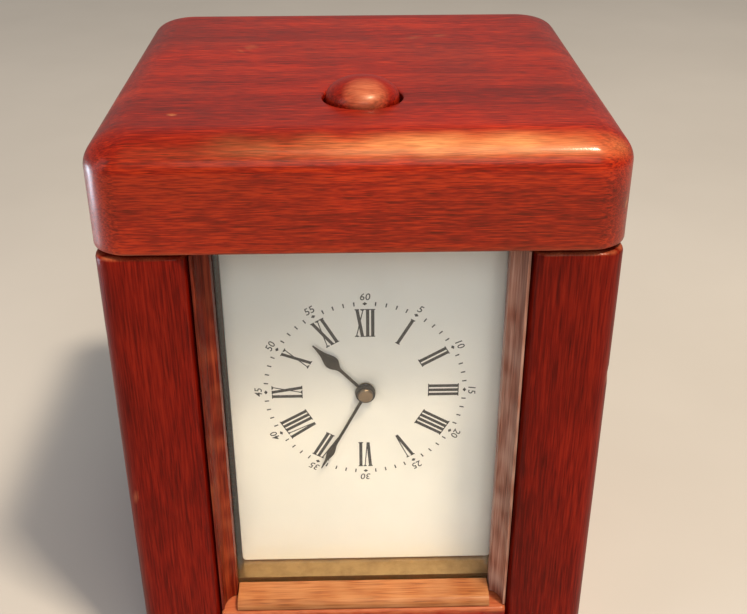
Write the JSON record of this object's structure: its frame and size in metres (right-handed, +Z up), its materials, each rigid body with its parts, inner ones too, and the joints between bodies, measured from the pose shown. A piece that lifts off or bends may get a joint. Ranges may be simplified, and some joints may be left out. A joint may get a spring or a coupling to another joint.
{
  "type": "travel alarm clock",
  "caption": "Travel alarm clock in a polished wooden case with hinged lid, top push button, bevelled front glass, upright white dial, back door and a wound movement.",
  "frame": {"origin": "middle of the case's flat underside", "axes": "+Z up, the dial faces -Y, +X to the right as the dial is read"},
  "size_m": [0.1174, 0.1211, 0.1569],
  "materials": {
    "mahogany": "red-stained, polished",
    "bead_wood": "worn, lighter stain",
    "glass": "clear, bevelled",
    "enamel": "white vitreous enamel",
    "blued_steel": "dark blued steel",
    "brass": "lacquered brass",
    "steel": "bright steel",
    "bell_metal": "polished bell metal"
  },
  "bodies": {
    "case": {"base_plinth": "mahogany", "front_left_post": "mahogany", "front_right_post": "mahogany", "back_left_post": "mahogany", "back_right_post": "mahogany", "left_side_panel": "mahogany", "right_side_panel": "mahogany", "front_rail": "mahogany", "back_bottom_rail": "mahogany", "back_top_rail": "mahogany", "left_glazing_bead": "bead_wood", "right_glazing_bead": "bead_wood", "sill_bead": "bead_wood", "front_glass": "glass", "movement_bed": "brass", "lid_hinge_fixed_leaf": "brass", "door_hinge_fixed_leaf": "brass", "dial": "enamel", "movement_front_plate": "brass", "movement_back_plate": "brass", "lower_left_pillar": "brass", "lower_right_pillar": "brass", "upper_left_pillar": "brass", "upper_right_pillar": "brass", "going_click": "steel", "escapement_platform": "brass", "balance_cock": "brass", "alarm_bell": "bell_metal"},
    "lid": {"lid": "mahogany", "lid_hinge_moving_leaf": "brass", "button_spring": "steel"},
    "button": {"push_button": "mahogany", "button_washer": "brass"},
    "door": {"back_door": "mahogany", "door_knob": "brass", "door_hinge_moving_leaf": "brass"},
    "minute_hand": {"centre_arbor": "steel", "centre_wheel": "brass", "minute_hand": "blued_steel", "hand_nut": "brass", "hand_setting_knob": "brass"},
    "hour_hand": {"hour_wheel": "brass", "hour_hand": "blued_steel"},
    "minute_wheel": {"minute_wheel": "brass"},
    "going_barrel": {"going_barrel": "brass"},
    "going_key": {"going_barrel_arbor": "steel", "going_ratchet_wheel": "steel", "going_winding_key": "brass"},
    "third_wheel": {"third_wheel": "brass"},
    "contrate_wheel": {"contrate_wheel": "brass"},
    "escape_wheel": {"escape_wheel": "steel"},
    "pallet_lever": {"pallet_lever": "steel"},
    "balance": {"balance_wheel": "brass"},
    "alarm_barrel": {"alarm_barrel": "brass"},
    "alarm_wheel": {"alarm_wheel": "brass"},
    "alarm_key": {"alarm_winding_arbor": "steel", "alarm_winding_key": "brass"},
    "alarm_setting": {"alarm_setting_knob": "brass"},
    "alarm_hammer": {"alarm_hammer": "steel"},
    "stop_lever": {"alarm_stop_lever": "steel"}
  },
  "joints": [
    {"name": "lid_hinge", "type": "hinge", "parent": "case", "child": "lid", "pos_m": [0, 0.0587, 0.12655], "axis": [-1, 0, 0], "range_deg": [0, 95]},
    {"name": "button_press", "type": "slide", "parent": "lid", "child": "button", "axis": [0, 0, -1], "range_m": [0, 0.0025], "stiffness_N_per_m": 350, "springref_m": -0.004, "deforming": ["button_spring"]},
    {"name": "door_hinge", "type": "hinge", "parent": "case", "child": "door", "pos_m": [-0.0377, 0.058, 0.07085], "axis": [0, 0, 1], "range_deg": [0, 110]},
    {"name": "minute_turn", "type": "hinge", "parent": "case", "child": "minute_hand", "pos_m": [0.001, 0, 0.0802], "axis": [0, 1, 0], "continuous": true},
    {"name": "hour_turn", "type": "hinge", "parent": "case", "child": "hour_hand", "pos_m": [0.001, 0, 0.0802], "axis": [0, 1, 0], "continuous": true},
    {"name": "minute_wheel_turn", "type": "hinge", "parent": "case", "child": "minute_wheel", "pos_m": [0.00966, 0, 0.0852], "axis": [0, 1, 0], "continuous": true},
    {"name": "going_barrel_turn", "type": "hinge", "parent": "case", "child": "going_barrel", "pos_m": [-0.0095, 0, 0.06201], "axis": [0, 1, 0], "continuous": true},
    {"name": "third_wheel_turn", "type": "hinge", "parent": "case", "child": "third_wheel", "pos_m": [-0.00665, 0, 0.09345], "axis": [0, 1, 0], "continuous": true},
    {"name": "contrate_wheel_turn", "type": "hinge", "parent": "case", "child": "contrate_wheel", "pos_m": [0.00511, 0, 0.09649], "axis": [0, 1, 0], "continuous": true},
    {"name": "going_key_turn", "type": "hinge", "parent": "case", "child": "going_key", "pos_m": [-0.0095, 0, 0.06201], "axis": [0, -1, 0], "continuous": true},
    {"name": "escape_wheel_turn", "type": "hinge", "parent": "case", "child": "escape_wheel", "pos_m": [0.00511, -0.0059, 0.11], "axis": [0, 0, 1], "continuous": true},
    {"name": "pallet_lever_rock", "type": "hinge", "parent": "case", "child": "pallet_lever", "pos_m": [-0.00119, -0.0059, 0.11], "axis": [0, 0, 1], "range_deg": [-5, 5]},
    {"name": "balance_swing", "type": "hinge", "parent": "case", "child": "balance", "pos_m": [-0.01099, -0.0059, 0.11], "axis": [0, 0, 1], "range_deg": [-240, 240]},
    {"name": "alarm_barrel_turn", "type": "hinge", "parent": "case", "child": "alarm_barrel", "pos_m": [0.02, 0, 0.055], "axis": [0, 1, 0], "continuous": true},
    {"name": "alarm_wheel_turn", "type": "hinge", "parent": "case", "child": "alarm_wheel", "pos_m": [0.02, 0, 0.0676], "axis": [0, 1, 0], "continuous": true},
    {"name": "alarm_key_turn", "type": "hinge", "parent": "case", "child": "alarm_key", "pos_m": [0.02, 0, 0.055], "axis": [0, -1, 0], "continuous": true},
    {"name": "alarm_setting_turn", "type": "hinge", "parent": "case", "child": "alarm_setting", "pos_m": [0.02, 0, 0.092], "axis": [0, -1, 0], "continuous": true},
    {"name": "alarm_hammer_swing", "type": "hinge", "parent": "case", "child": "alarm_hammer", "pos_m": [-0.0182, 0, 0.05], "axis": [0, -1, 0], "range_deg": [0, 8.5]},
    {"name": "stop_lever_rock", "type": "hinge", "parent": "case", "child": "stop_lever", "pos_m": [0.021, 0, 0.119], "axis": [0, -1, 0], "range_deg": [0, 7.3]}
  ],
  "couplings": [
    {"joint": "hour_turn", "follows": "minute_turn", "ratio": 0.083333},
    {"joint": "minute_wheel_turn", "follows": "minute_turn", "ratio": -0.33333},
    {"joint": "going_barrel_turn", "follows": "minute_turn", "ratio": -0.16667},
    {"joint": "third_wheel_turn", "follows": "minute_turn", "ratio": -7.5},
    {"joint": "contrate_wheel_turn", "follows": "minute_turn", "ratio": 60},
    {"joint": "alarm_wheel_turn", "follows": "alarm_barrel_turn", "ratio": -6},
    {"joint": "stop_lever_rock", "follows": "button_press", "rad_per_m": 50}
  ]
}
